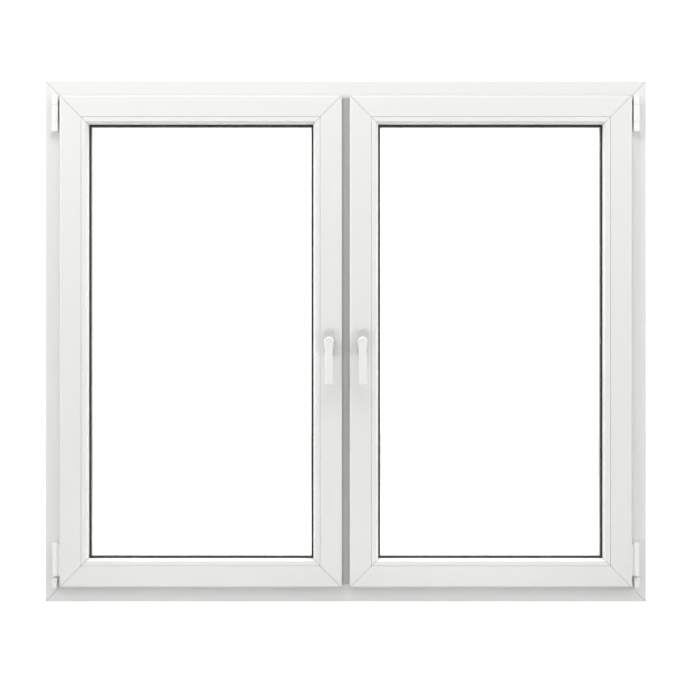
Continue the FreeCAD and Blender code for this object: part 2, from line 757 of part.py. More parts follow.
plate_y = (y_groove - plate_half + plate_clearance, y_groove + plate_half - plate_clearance)
z_plate = (z_rod[0] - plate_past_rod, z_rod[1] + rod_travel + plate_past_rod)
lock_plate = side_box(left_sash, "right", *z_plate, lip_width, plate_floor, *plate_y)
slot_half = cam_shank + cam_slot_clearance
for z in cam_heights:
    ends = (z - slot_half, z + rod_travel + slot_half)
    slot_y = (y_groove - slot_half, y_groove + slot_half)
    through = (lip_width - past, plate_floor + past)
    lock_plate = lock_plate.cut(side_box(left_sash, "right", *ends, *through, *slot_y))
top_rise = z_body_top - z_tilt
groove_back = y_groove - y_hinge
pull = top_rise * math.sin(math.radians(tilt_angle)) - groove_back * math.cos(math.radians(tilt_angle))
arm_radius = math.hypot(stay_arm_length, groove_back)
arm_swing = math.asin(pull / arm_radius) + math.atan2(groove_back, stay_arm_length)
shift = stay_arm_length - stay_arm_length * math.cos(arm_swing) - groove_back * math.sin(arm_swing)
stay_plate_x = (x_stud - shift - stay_plate_past_slide, x_stud + stay_plate_past_slide)
stay_plate = side_box(left_sash, "top", *stay_plate_x, lip_width, plate_floor, *plate_y)
slide_half = pin_radius + slide_clearance
slide_x = (x_stud - shift - slide_half - slide_end_clearance[0], x_stud + slide_half + slide_end_clearance[1])
slide_y = (y_groove - slide_half, y_groove + slide_half)
stay_plate = stay_plate.cut(side_box(left_sash, "top", *slide_x, *through, *slide_y))

# Strikers on the mullion: a plate under each cam with a low lip on the room side.
x_striker = left_rebate[1]
striker_y = (y_groove - striker_reach[0], y_groove + striker_reach[1])
left_strikers = []
for z in cam_heights:
    middle = z + rod_travel / 2
    ends = (middle - striker_length / 2, middle + striker_length / 2)
    plate = box(x_striker - striker_thickness, x_striker, *striker_y, *ends)
    lip_top = x_striker - striker_thickness - striker_lip
    lip_y = (striker_y[0], striker_y[0] + striker_lip_width)
    lip = box(lip_top, x_striker - striker_thickness, *lip_y, *ends)
    left_strikers.append(plate.fuse(lip).removeSplitter())
keep("strikers", *left_strikers, *[mirrored(s) for s in left_strikers])

# Rosette: a hollow cap with a bearing boss for the lever's neck, over the two fixing screws.
y_rosette = y_room - rosette_thickness
half_w = rosette_width / 2
half_h = rosette_height / 2
rosette = box(x_handle - half_w, x_handle + half_w, y_rosette, y_room, z_handle - half_h, z_handle + half_h)
upright = [e for e in rosette.Edges if e.BoundBox.YLength > rosette_thickness - near]
rosette = rosette.makeFillet(rosette_corner, upright)
front_edges = [e for e in rosette.Edges if e.BoundBox.YMax < y_rosette + near]
rosette = rosette.makeFillet(rosette_edge, front_edges)
t = rosette_wall
cavity = box(
    x_handle - half_w + t,
    x_handle + half_w - t,
    y_rosette + rosette_front,
    y_room + past,
    z_handle - half_h + t,
    z_handle + half_h - t,
)
cavity_corners = [e for e in cavity.Edges if e.BoundBox.YLength > past]
cavity = cavity.makeFillet(rosette_corner - t, cavity_corners)
boss = rod(neck_radius + boss_wall, (x_handle, y_rosette + t, z_handle), (x_handle, y_room, z_handle))
y_neck_end = y_room - neck_short_of_sash
neck_bore = rod(
    neck_radius + running_clearance,
    (x_handle, y_rosette - past, z_handle),
    (x_handle, y_room + past, z_handle),
)
rosette = rosette.cut(cavity.cut(boss)).cut(neck_bore).removeSplitter()

# Lever: a round neck on a square spindle, and a flat grip that hangs down when the window is locked.
y_lever_back = y_rosette - lever_stand_off
y_lever_front = y_lever_back - lever_thickness
r = lever_head_radius
w = lever_width / 2
z_end = z_handle - lever_reach
shoulder = z_handle - lever_shoulder * r
plate_points = [
    Vector(x_handle - w, y_lever_back, z_end),
    Vector(x_handle - w, y_lever_back, shoulder),
    Vector(x_handle - r, y_lever_back, z_handle),
    Vector(x_handle + r, y_lever_back, z_handle),
    Vector(x_handle + w, y_lever_back, shoulder),
    Vector(x_handle + w, y_lever_back, z_end),
]
edges = [
    Part.makeLine(plate_points[0], plate_points[1]),
    Part.makeLine(plate_points[1], plate_points[2]),
    Part.Arc(plate_points[2], Vector(x_handle, y_lever_back, z_handle + r), plate_points[3]).toShape(),
    Part.makeLine(plate_points[3], plate_points[4]),
    Part.makeLine(plate_points[4], plate_points[5]),
    Part.makeLine(plate_points[5], plate_points[0]),
]
grip = Part.Face(Part.Wire(edges)).extrude(Vector(0, -lever_thickness, 0))
front_edges = [e for e in grip.Edges if e.BoundBox.YMax < y_lever_front + near]
grip = grip.makeFillet(lever_edge, front_edges)
neck = rod(neck_radius, (x_handle, y_lever_back - past, z_handle), (x_handle, y_neck_end, z_handle))
lever = grip.fuse(neck).removeSplitter()
s = spindle_square / 2
y_spindle = y_neck_end - spindle_in_lever
spindle = box(x_handle - s, x_handle + s, y_spindle, spindle_end, z_handle - s, z_handle + s)
spindle = spindle.common(
    rod(spindle_corner, (x_handle, y_spindle - past, z_handle), (x_handle, spindle_end, z_handle))
)
lever = lever.cut(spindle)

# Both sides. The right-hand window is the left-hand one mirrored.
left_nodes = {
    "sash_top_rail": [sash_bars["top"]],
    "sash_bottom_rail": [sash_bars["bottom"]],
    "sash_hinge_stile": [sash_bars["left"]],
    "sash_lock_stile": [lock_stile],
    "sash_reinforcement": [sash_steel["top"], sash_steel["bottom"], sash_steel["left"], lock_steel],
    "sash_seal": [sash_seal],
    "glazing_beads": beads,
    "glazing_gaskets": [gasket_inner, gasket_outer],
    "pane_inner": [pane_inner],
    "pane_outer": [pane_outer],
    "spacer_bar": [ring(left_sash, spacer_from, spacer_to, *y_air)],
    "edge_sealant": [ring(left_sash, glass_edge, spacer_from, *y_air)],
    "setting_blocks": blocks,
    "gear_case": [gear_case],
    "faceplates": [lock_plate, stay_plate],
    "hinge_sleeve": [sleeve],
    "rosette": [rosette],
    "rosette_screws": rosette_screws,
    "lever": [lever],
    "spindle": [spindle],
    "drive_rod": [drive_rod],
    "corner_pin": [corner_pin],
    "stay_pin": [stay_pin],
    "stay_arm": [stay_arm],
}
keep("stay_bearings", *knuckles, *[mirrored(k) for k in knuckles])
keep("corner_bearings", cup, mirrored(cup))
for name, solids in left_nodes.items():
    keep(name + "_left", *solids)
    keep(name + "_right", *[mirrored(solid) for solid in solids])

os.makedirs("parts", exist_ok=True)
for name, shape in parts.items():
    shape.exportStep("parts/" + name + ".step")
print(len(parts), "nodes")
print("stay arm swing", round(math.degrees(arm_swing), 3), "for a tilt of", tilt_angle)
print("hinge line", x_hinge, y_hinge, "tilt height", z_tilt, "handle", x_handle, z_handle)
for name, shape in parts.items():
    if not shape.isValid() or any(s.Volume <= 0 for s in shape.Solids) or not shape.Solids:
        print("check", name)
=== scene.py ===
import math

import bmesh
import bpy
from mathutils import Matrix, Vector


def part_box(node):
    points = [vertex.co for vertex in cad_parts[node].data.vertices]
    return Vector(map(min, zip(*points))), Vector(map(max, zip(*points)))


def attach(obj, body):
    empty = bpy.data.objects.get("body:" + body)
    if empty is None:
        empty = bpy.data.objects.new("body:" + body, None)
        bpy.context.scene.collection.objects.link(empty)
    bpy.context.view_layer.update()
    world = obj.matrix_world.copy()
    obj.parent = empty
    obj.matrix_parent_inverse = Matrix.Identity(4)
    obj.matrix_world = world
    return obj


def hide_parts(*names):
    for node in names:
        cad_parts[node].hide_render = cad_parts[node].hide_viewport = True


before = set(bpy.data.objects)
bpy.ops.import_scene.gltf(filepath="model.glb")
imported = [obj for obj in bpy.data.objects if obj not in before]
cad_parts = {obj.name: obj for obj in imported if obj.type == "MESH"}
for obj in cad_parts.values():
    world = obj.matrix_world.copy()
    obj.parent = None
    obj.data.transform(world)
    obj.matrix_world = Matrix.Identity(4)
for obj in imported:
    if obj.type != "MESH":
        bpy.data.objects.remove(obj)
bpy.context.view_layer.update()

# ---------------------------------------------------------------------------------------------------
# Camera: level with the middle of the window and square to it, from the room, four and a half metres
# off, so that the frame's sides run straight and the sashes hide their own edges.
camera_data = bpy.data.cameras.new("room_camera")
camera_data.lens = 92.67
camera = bpy.data.objects.new("room_camera", camera_data)
camera.location = (0.0105, -4.535, 0.6285)
camera.rotation_euler = (math.radians(90), 0, 0)
bpy.context.scene.collection.objects.link(camera)
bpy.context.scene.camera = camera
bpy.context.scene.view_settings.view_transform = "Standard"

# ---------------------------------------------------------------------------------------------------
# Studio: a white room with a plain pale floor. One softbox hangs above and in front, one stands at each
# side and one lights the back, so the top rails are brightest and the sills fall off gently.
world = bpy.data.worlds.new("white_studio")
bpy.context.scene.world = world
world.use_nodes = True
sky = world.node_tree


def brightness(tree, lighting, seen):
    """One brightness for the rays that light the window, and another for those that the camera sees."""
    path = tree.nodes.new("ShaderNodeLightPath")
    direct = tree.nodes.new("ShaderNodeMath")
    direct.operation = "MAXIMUM"
    strength = tree.nodes.new("ShaderNodeMapRange")
    strength.inputs["To Min"].default_value = lighting
    strength.inputs["To Max"].default_value = seen
    tree.links.new(path.outputs["Is Camera Ray"], direct.inputs[0])
    tree.links.new(path.outputs["Is Transmission Ray"], direct.inputs[1])
    tree.links.new(direct.outputs[0], strength.inputs["Value"])
    return strength.outputs["Result"]


sky.nodes.clear()
backdrop = sky.nodes.new("ShaderNodeBackground")
backdrop.inputs["Color"].default_value = (1.0, 1.0, 1.0, 1.0)
sky_out = sky.nodes.new("ShaderNodeOutputWorld")
sky.links.new(brightness(sky, 0.12, 1.45), backdrop.inputs["Strength"])
sky.links.new(backdrop.outputs["Background"], sky_out.inputs["Surface"])


def softbox(name, place, target, width, height, watts):
    """A rectangular studio light at a place, turned towards a target."""
    data = bpy.data.lights.new(name, "AREA")
    data.shape = "RECTANGLE"
    data.size = width
    data.size_y = height
    data.energy = watts
    light = bpy.data.objects.new(name, data)
    light.location = place
    aim = Vector(target) - Vector(place)
    light.rotation_euler = aim.to_track_quat("-Z", "Y").to_euler()
    bpy.context.scene.collection.objects.link(light)


softbox("top_softbox", (-0.3, -1.5, 3.1), (0.0, 0.0, 0.85), 2.6, 1.2, 48)
softbox("left_softbox", (-3.1, -1.8, 1.5), (0.0, 0.0, 0.75), 1.2, 2.2, 49)
softbox("right_softbox", (3.1, -1.8, 1.5), (0.0, 0.0, 0.75), 1.2, 2.2, 50)
softbox("back_softbox", (0.6, 2.6, 2.6), (0.0, 0.0, 0.65), 2.4, 1.4, 60)

floor_half = 9.0
floor_below = 0.0005
floor_bm = bmesh.new()
bmesh.ops.create_grid(floor_bm, x_segments=1, y_segments=1, size=floor_half)
floor_mesh = bpy.data.meshes.new("studio_floor")
floor_bm.to_mesh(floor_mesh)
floor_bm.free()
floor = bpy.data.objects.new("studio_floor", floor_mesh)
floor.location.z = -floor_below
bpy.context.scene.collection.objects.link(floor)
floor_paint = bpy.data.materials.new("pale_floor")
floor_paint.use_nodes = True
floor_tree = floor_paint.node_tree
floor_shader = floor_tree.nodes["Principled BSDF"]
floor_shader.inputs["Base Color"].default_value = (0.68, 0.68, 0.68, 1.0)
floor_shader.inputs["Roughness"].default_value = 0.9
floor_shader.inputs["Emission Color"].default_value = (1.0, 1.0, 1.0, 1.0)
floor_tree.links.new(brightness(floor_tree, 0.04, 1.0), floor_shader.inputs["Emission Strength"])
floor_mesh.materials.append(floor_paint)

# ---------------------------------------------------------------------------------------------------
# Outer frame: sill, head and two jambs. Each is a length of hollow white PVC profile, cut at 45
# degrees and welded to its neighbours, which leaves a fine groove across each corner.
mm = 0.001
same_place = 1e-6
side_turns = {"bottom": 0, "right": -90, "top": 180, "left": 90}


def new_group(name, inputs, outputs):
    """An empty shader group with float or vector sockets."""
    group = bpy.data.node_groups.new(name, "ShaderNodeTree")
    for label, kind, value in inputs:
        socket = group.interface.new_socket(label, in_out="INPUT", socket_type=kind)
        socket.default_value = value
    for label, kind in outputs:
        group.interface.new_socket(label, in_out="OUTPUT", socket_type=kind)
    return group, group.nodes.new("NodeGroupInput"), group.nodes.new("NodeGroupOutput")


# Fine skin of an extruded, moulded or sprayed surface: a small ripple for the bump and a slow drift.
skin_group, skin_in, skin_out = new_group(
    "surface_skin",
    [
        ("Vector", "NodeSocketVector", (0, 0, 0)),
        ("Ripple Scale", "NodeSocketFloat", 400.0),
        ("Drift Scale", "NodeSocketFloat", 5.0),
    ],
    [("Ripple", "NodeSocketFloat"), ("Drift", "NodeSocketFloat")],
)
for label, scale, detail in (("Ripple", "Ripple Scale", 3.0), ("Drift", "Drift Scale", 4.0)):
    noise = skin_group.nodes.new("ShaderNodeTexNoise")
    noise.inputs["Detail"].default_value = detail
    skin_group.links.new(skin_in.outputs["Vector"], noise.inputs["Vector"])
    skin_group.links.new(skin_in.outputs[scale], noise.inputs["Scale"])
    skin_group.links.new(noise.outputs["Fac"], skin_out.inputs[label])


def surface(name, colour, second, roughness, ripple, drift, bump, stretch=(1, 1, 1), metallic=0.0, coat=0.0):
    """A finished surface: two shades of one colour, uneven gloss and a fine ripple in the bump."""
    material = bpy.data.materials.new(name)
    material.use_nodes = True
    tree = material.node_tree
    shader = tree.nodes["Principled BSDF"]
    shader.inputs["Metallic"].default_value = metallic
    shader.inputs["Coat Weight"].default_value = coat
    shader.inputs["Coat Roughness"].default_value = 0.12
    place = tree.nodes.new("ShaderNodeTexCoord")
    mapping = tree.nodes.new("ShaderNodeMapping")
    mapping.inputs["Scale"].default_value = stretch
    skin = tree.nodes.new("ShaderNodeGroup")
    skin.node_tree = skin_group
    skin.inputs["Ripple Scale"].default_value = ripple
    skin.inputs["Drift Scale"].default_value = drift
    tree.links.new(place.outputs["Object"], mapping.inputs["Vector"])
    tree.links.new(mapping.outputs["Vector"], skin.inputs["Vector"])
    mix = tree.nodes.new("ShaderNodeMix")
    mix.data_type = "RGBA"
    mix.inputs["A"].default_value = (*colour, 1.0)
    mix.inputs["B"].default_value = (*second, 1.0)
    tree.links.new(skin.outputs["Drift"], mix.inputs["Factor"])
    tree.links.new(mix.outputs["Result"], shader.inputs["Base Color"])
    gloss = tree.nodes.new("ShaderNodeMapRange")
    gloss.inputs["From Min"].default_value = 0.3
    gloss.inputs["From Max"].default_value = 0.7
    gloss.inputs["To Min"].default_value = roughness[0]
    gloss.inputs["To Max"].default_value = roughness[1]
    tree.links.new(skin.outputs["Drift"], gloss.inputs["Value"])
    tree.links.new(gloss.outputs["Result"], shader.inputs["Roughness"])
    relief = tree.nodes.new("ShaderNodeBump")
    relief.inputs["Strength"].default_value = bump
    relief.inputs["Distance"].default_value = 0.0002
    tree.links.new(skin.outputs["Ripple"], relief.inputs["Height"])
    tree.links.new(relief.outputs["Normal"], shader.inputs["Normal"])
    return material


def pvc(name, along, shade=1.0):
    """White PVC with the faint lengthwise streaks of extrusion along X or Z."""
    stretch = {"X": (0.05, 1.0, 1.0), "Z": (1.0, 1.0, 0.05)}[along]
    colour = [0.860 * shade, 0.858 * shade, 0.842 * shade]
    second = [0.835 * shade, 0.834 * shade, 0.815 * shade]
    return surface(
        name,
        colour=colour, second=second,
        roughness=(0.26, 0.38), stretch=stretch,
        ripple=420.0, drift=6.0, bump=0.10,
    )


pvc_level = pvc("white_pvc_level", "X")
pvc_upright = pvc("white_pvc_upright", "Z")
weld_groove = surface(
    "weld_groove",
    colour=(0.42, 0.42, 0.41), second=(0.34, 0.34, 0.33),
    roughness=(0.6, 0.75),
    ripple=300.0, drift=40.0, bump=0.2,
)


def section_face(bm, outline, segments=5):
    """A cross-section as one face at x = 0. Its outline is a list of (up, across, corner rounding) in mm."""
    others = set(bm.faces)
    corners = [bm.verts.new((0, across * mm, up * mm)) for up, across, r in outline]
    bm.faces.new(corners)
    for corner, (up, across, r) in zip(corners, outline):
        if r:
            bmesh.ops.bevel(
                bm,
                geom=[corner],
                offset=r * mm,
                segments=segments,
                profile=0.5,
                affect="VERTICES",
                material=-1,
            )
    return next(face for face in bm.faces if face not in others)


weld_seam = 0.45 * mm


def hollow_bar(outline, chambers, length, seam):
    """A hollow bar along X, mitred at both ends, with a recessed seam round each mitre."""
    bm = bmesh.new()
    section_face(bm, outline)
    moved = bmesh.ops.extrude_face_region(bm, geom=bm.faces[:])["geom"]
    far = {v for v in moved if isinstance(v, bmesh.types.BMVert)}
    recess = seam * math.sqrt(2)
    for vert in bm.verts:
        vert.co.x = length - vert.co.z - recess if vert in far else vert.co.z + recess
    bmesh.ops.recalc_face_normals(bm, faces=bm.faces[:])
    caps = [f for f in bm.faces if all(v in far for v in f.verts) or not any(v in far for v in f.verts)]
    for cap in caps:
        rim = bmesh.ops.inset_region(
            bm, faces=[cap], thickness=seam, depth=seam, use_even_offset=True, use_boundary=True
        )
        for face in rim["faces"]:
            face.material_index = 1
    for cap in caps:
        loops = list(cap.edges)
        at_far_end = cap.calc_center_median().x > length / 2
        for chamber in chambers:
            ring = []
            for up, across in chamber:
                x = length - up * mm if at_far_end else up * mm
                ring.append(bm.verts.new((x, across * mm, up * mm)))
            loops += [bm.edges.new((ring[i - 1], ring[i])) for i in range(len(ring))]
        bmesh.ops.delete(bm, geom=[cap], context="FACES_ONLY")
        bmesh.ops.triangle_fill(bm, edges=loops, use_beauty=True)
    rims = [e for e in bm.edges if len(e.link_faces) == 1]
    for chamber in chambers:
        corners = [Vector((across * mm, up * mm)) for up, across in chamber]
        own = [
            edge
            for edge in rims
            if all(min((v.co.yz - c).length for c in corners) < same_place for v in edge.verts)
        ]
        bmesh.ops.bridge_loops(bm, edges=own)
    bmesh.ops.recalc_face_normals(bm, faces=bm.faces[:])
    return bm


def put(bm, name, body, materials, replaces=(), smooth=30.0):
    """Finish a mesh as one named piece that rides on a body."""
    mesh = bpy.data.meshes.new(name)
    bm.to_mesh(mesh)
    bm.free()
    for material in materials:
        mesh.materials.append(material)
    piece = bpy.data.objects.new(name, mesh)
    bpy.context.scene.collection.objects.link(piece)
    mesh.shade_smooth()
    mesh.set_sharp_from_angle(angle=math.radians(smooth))
    shading = piece.modifiers.new("flat_faces_stay_flat", "WEIGHTED_NORMAL")
    shading.weight = 100
    shading.keep_sharp = True
    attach(piece, body)
    if replaces:
        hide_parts(*replaces)
    return piece


def mitred_side(
    name, outline, chambers, rect, side, y_front, body, replaces, finish, seam=weld_seam
):
    """One bar of a rectangle (x low, x high, z low, z high), turned to the side that it makes."""
    x0, x1, z0, z1 = rect
    bm = hollow_bar(outline, chambers, x1 - x0 if side in ("bottom", "top") else z1 - z0, seam)
    corner = {"bottom": (x0, z0), "right": (x1, z0), "top": (x1, z1), "left": (x0, z1)}[side]
    turn = Matrix.Rotation(math.radians(side_turns[side]), 4, "Y")
    place = Matrix.Translation((corner[0], y_front, corner[1])) @ turn
    bmesh.ops.transform(bm, matrix=place, verts=bm.verts)
    put(bm, name, body, finish, replaces)


def chamber(low, high, front, back):
    return [(low, front), (high, front), (high, back), (low, back)]


frame_rect = (
    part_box("frame_jamb_left")[0].x,
    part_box("frame_jamb_right")[1].x,
    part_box("frame_sill")[0].z,
    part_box("frame_head")[1].z,
)
frame_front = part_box("frame_sill")[0].y
frame_face = 45
frame_outline = [(0, 70, 1), (0, 0, 1.2), (45, 0, 3), (45, 55, 0), (65, 55, 2), (65, 70, 3)]
frame_chambers = [
    chamber(3, 42, 3, 12),
    chamber(3, 42, 15, 45),
    chamber(3, 42, 48, 67),
    chamber(45, 62, 58, 67),
]
frame_nodes = {
    "bottom": "frame_sill",
    "top": "frame_head",
    "left": "frame_jamb_left",
    "right": "frame_jamb_right",
}
for side, node in frame_nodes.items():
    finish = [pvc_level if side in ("bottom", "top") else pvc_upright, weld_groove]
    mitred_side(
        node + "_bar",
        frame_outline,
        frame_chambers,
        frame_rect,
        side,
        frame_front,
        "frame",
        [node],
        finish,
    )


def finish_node(name, material):
    """Give a piece of the frame model its real finish."""
    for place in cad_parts[name].material_slots:
        place.material = material


# ---------------------------------------------------------------------------------------------------
# Mullion: a fixed T-shaped bar of the same white PVC that stands between the two openings, square cut
# and screwed to the head and the sill through the connectors in its ends. Its room face lies in the slot
# between the closed sashes and carries painted shade: its colour is mixed towards grey near the front.
mullion_pvc_painted_shade = pvc("white_pvc_mullion_painted_shade", "Z")
tree = mullion_pvc_painted_shade.node_tree
shader = tree.nodes["Principled BSDF"]
# Painted shade: the mullion's colour is mixed towards grey (0.62 against the PVC's 0.86), fully at its room
# face and fading out 20 mm deeper, to stand for the shade in the slot between the sashes.
painted_slot_shade = tree.nodes.new("ShaderNodeMix")
painted_slot_shade.data_type = "RGBA"
painted_slot_shade.inputs["B"].default_value = (0.62, 0.62, 0.605, 1.0)
tree.links.new(shader.inputs["Base Color"].links[0].from_socket, painted_slot_shade.inputs["A"])
tree.links.new(painted_slot_shade.outputs["Result"], shader.inputs["Base Color"])
place = tree.nodes.new("ShaderNodeTexCoord")
split = tree.nodes.new("ShaderNodeSeparateXYZ")
depth = tree.nodes.new("ShaderNodeMapRange")
room_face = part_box("mullion")[0].y
depth.inputs["From Min"].default_value = room_face + 2 * mm
depth.inputs["From Max"].default_value = room_face + 20 * mm
depth.inputs["To Min"].default_value = 1.0
depth.inputs["To Max"].default_value = 0.0
tree.links.new(place.outputs["Object"], split.inputs["Vector"])
tree.links.new(split.outputs["Y"], depth.inputs["Value"])
tree.links.new(depth.outputs["Result"], painted_slot_shade.inputs["Factor"])
finish_node("mullion", mullion_pvc_painted_shade)
mullion_half = 17.5

# ---------------------------------------------------------------------------------------------------
# Reinforcement: roll-formed, galvanised steel tubes inside the frame bars and the mullion, with the
# mullion's end connectors. They stiffen the plastic and take the screws.
galvanised = surface(
    "galvanised_steel",
    colour=(0.50, 0.52, 0.53), second=(0.62, 0.63, 0.64),
    roughness=(0.34, 0.55),
    ripple=90.0, drift=55.0, bump=0.25, metallic=1.0,
)
finish_node("frame_reinforcement", galvanised)

# ---------------------------------------------------------------------------------------------------
# Frame seals: a black rubber strip round each opening, pushed into the stop, that the closed sash
# presses on. Its soft front corners are rounded.
black_rubber = surface(
    "black_rubber",
    colour=(0.018, 0.018, 0.018), second=(0.030, 0.030, 0.030),
    roughness=(0.48, 0.66),
    ripple=900.0, drift=30.0, bump=0.20,
)


def band(rect, outline, gap=None):
    """A seamless strip round the inside of a rectangle. A gap (side, low, high) leaves an upright bare."""
    x0, x1, z0, z1 = rect
    stations = [(x0, z0, 1, 1), (x0, z1, 1, -1), (x1, z1, -1, -1), (x1, z0, -1, 1), (x0, z0, 1, 1)]
    if gap:
        side, low, high = gap
        near, far = (x0, x1) if side == "left" else (x1, x0)
        way = 1 if side == "left" else -1
        stations = [(near, high, way, 0), (near, z1, way, -1), (far, z1, -way, -1)]
        stations += [(far, z0, -way, 1), (near, z0, way, 1), (near, low, way, 0)]
    bm = bmesh.new()
    caps = [section_face(bm, outline)]
    x, z, across, up = stations[0]
    for vert in caps[0].verts:
        inwards = vert.co.z
        vert.co = (x + across * inwards, vert.co.y, z + up * inwards)
    for next_x, next_z, next_across, next_up in stations[1:]:
        moved = bmesh.ops.extrude_face_region(bm, geom=[caps[-1]])["geom"]
        for vert in moved:
            if isinstance(vert, bmesh.types.BMVert):
                inwards = (vert.co.x - x) * across
                vert.co = (next_x + next_across * inwards, vert.co.y, next_z + next_up * inwards)
        caps.append(next(g for g in moved if isinstance(g, bmesh.types.BMFace)))
        x, across = next_x, next_across
    bmesh.ops.delete(bm, geom=caps[1:-1] if gap else caps, context="FACES_ONLY")
    if not gap:
        bmesh.ops.remove_doubles(bm, verts=bm.verts[:], dist=same_place)
    bmesh.ops.recalc_face_normals(bm, faces=bm.faces[:])
    return bm


opening_left = (
    frame_rect[0] + frame_face * mm,
    -mullion_half * mm,
    frame_rect[2] + frame_face * mm,
    frame_rect[3] - frame_face * mm,
)
opening_right = (-opening_left[1], -opening_left[0], opening_left[2], opening_left[3])
frame_seal_outline = [(12.5, 20, 0), (12.5, 17.3, 1.2), (19, 17.3, 1.2), (19, 20, 0)]
for side, opening in (("left", opening_left), ("right", opening_right)):
    put(
        band(opening, frame_seal_outline),
        "frame_seal_" + side,
        "frame",
        [black_rubber],
        ["frame_seals"],
    )

# ---------------------------------------------------------------------------------------------------
# Strikers: zinc-plated steel plates screwed to the mullion, with a low lip that the sash's locking
# cams slide behind.
zinc = surface(
    "zinc_steel",
    colour=(0.66, 0.67, 0.68), second=(0.74, 0.74, 0.74),
    roughness=(0.26, 0.40), stretch=(1, 1, 0.1),
    ripple=500.0, drift=9.0, bump=0.12, metallic=1.0,
)
finish_node("strikers", zinc)

# ---------------------------------------------------------------------------------------------------
# Drain caps: moulded white covers clipped over the sill's outlet slots on the outside, open below, so
# that the wind can't blow the water back.
finish_node("drain_caps", pvc_level)

# ---------------------------------------------------------------------------------------------------
# Stay bearings: two white, powder-coated knuckles at the top of each jamb, screwed through the plastic
# into its steel by hidden studs. The stay arm's barrel turns between them on the same pin.
hinge_white = surface(
    "hinge_white",
    colour=(0.94, 0.94, 0.93), second=(0.92, 0.92, 0.91),
    roughness=(0.30, 0.40),
    ripple=1100.0, drift=14.0, bump=0.16, coat=0.25,
)
pin_radius = 3
hinge_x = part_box("stay_pin_left")[0].x / mm + pin_radius
hinge_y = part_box("stay_pin_left")[0].y / mm + pin_radius
barrel_radius = 8.5
barrel_edge = 0.9
bore_radius = 3.03
knuckle_half = 6
base_set_in = 1
base_edge = 0.4
frame_front_mm = frame_front / mm


def turned(outline, place, axis="Z", steps=48):
    """A turned piece. Its outline is a list of (place along the axis, radius, corner rounding) in mm."""
    bm = bmesh.new()
    bmesh.ops.delete(bm, geom=[section_face(bm, outline)], context="FACES_ONLY")
    on_axis = [e for e in bm.edges if all(abs(v.co.y) < 1e-7 for v in e.verts)]
    bmesh.ops.delete(bm, geom=on_axis, context="EDGES")
    bmesh.ops.spin(
        bm,
        geom=bm.verts[:] + bm.edges[:],
        cent=(0, 0, 0),
        axis=(0, 0, 1),
        dvec=(0, 0, 0),
        angle=math.tau,
        steps=steps,
        use_merge=True,
    )
    bmesh.ops.remove_doubles(bm, verts=bm.verts[:], dist=same_place)
    bmesh.ops.recalc_face_normals(bm, faces=bm.faces[:])
    turn = Matrix.Rotation(math.radians(90), 4, "X") if axis == "Y" else Matrix.Identity(4)
    bmesh.ops.transform(bm, matrix=Matrix.Translation([v * mm for v in place]) @ turn, verts=bm.verts)
    return bm


def rounded_block(low, high, edge):
    """A block between two corners in mm, with its edges rounded."""
    bm = bmesh.new()
    bmesh.ops.create_cube(bm, size=1.0)
    size = [(b - a) * mm for a, b in zip(low, high)]
    middle = Vector([(a + b) / 2 * mm for a, b in zip(low, high)])
    bmesh.ops.transform(bm, matrix=Matrix.Translation(middle) @ Matrix.Diagonal((*size, 1)), verts=bm.verts)
    bmesh.ops.bevel(
        bm, geom=bm.edges[:], offset=edge * mm, segments=3, profile=0.5, affect="EDGES", material=-1
    )
    return bm


def joined(*shapes):
    """Several shapes in one mesh."""
    whole = bmesh.new()
    for shape in shapes:
        mesh = bpy.data.meshes.new("loose_shape")
        shape.to_mesh(mesh)
        shape.free()
        whole.from_mesh(mesh)
        bpy.data.meshes.remove(mesh)
    return whole


def handed(bm, side):
    """The shape as it is for the left, and turned to its mirror image for the right."""
    if side == "right":
        bmesh.ops.transform(bm, matrix=Matrix.Scale(-1, 4, (1, 0, 0)), verts=bm.verts)
        bmesh.ops.reverse_faces(bm, faces=bm.faces[:])
    return bm


bearing_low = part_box("stay_bearings")[0].z / mm
bearing_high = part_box("stay_bearings")[1].z / mm
lower_knuckle, upper_knuckle = 24.5, 23.4
knuckle_gap = 0.3
knuckle_round = 2
cap_thickness = 1.5
lower_top = bearing_low + lower_knuckle
upper_foot = bearing_high - upper_knuckle
arm_low, arm_high = lower_top + knuckle_gap, upper_foot - knuckle_gap
lower_outline = [
    (bearing_low, bore_radius, 0.3),
    (bearing_low, barrel_radius, knuckle_round),
    (lower_top, barrel_radius, barrel_edge),
    (lower_top, bore_radius, 0.2),
]
upper_outline = [
    (upper_foot, bore_radius, 0.2),
    (upper_foot, barrel_radius, barrel_edge),
    (bearing_high, barrel_radius, knuckle_round),
    (bearing_high, 0, 0),
    (bearing_high - cap_thickness, 0, 0),
    (bearing_high - cap_thickness, bore_radius, 0),
]
for side in ("left", "right"):
    for name, outline in (("lower", lower_outline), ("upper", upper_outline)):
        low = min(corner[0] for corner in outline) + base_set_in
        high = max(corner[0] for corner in outline) - base_set_in
        base = rounded_block(
            (hinge_x - knuckle_half, hinge_y + bore_radius, low),
            (hinge_x + knuckle_half, frame_front_mm, high),
            base_edge,
        )
        knuckle = joined(turned(outline, (hinge_x, hinge_y, 0)), base)
        put(
            handed(knuckle, side),
            f"stay_bearing_{name}_{side}",
            "frame",
            [hinge_white],
            ["stay_bearings"],
        )
finish_node("hinge_studs", zinc)

# ---------------------------------------------------------------------------------------------------
# Corner bearings: a tapered white cup at the foot of each jamb holds the cross arm of a steel pin, so
# that the pin can lean inwards with the sash as it tilts.
pin_steel = surface(
    "pin_steel",
    colour=(0.70, 0.70, 0.70), second=(0.76, 0.76, 0.76),
    roughness=(0.18, 0.28),
    ripple=700.0, drift=25.0, bump=0.08, metallic=1.0,
)
finish_node("corner_bearings", hinge_white)
for side in ("left", "right"):
    finish_node("corner_pin_" + side, pin_steel)
    finish_node("stay_pin_" + side, pin_steel)

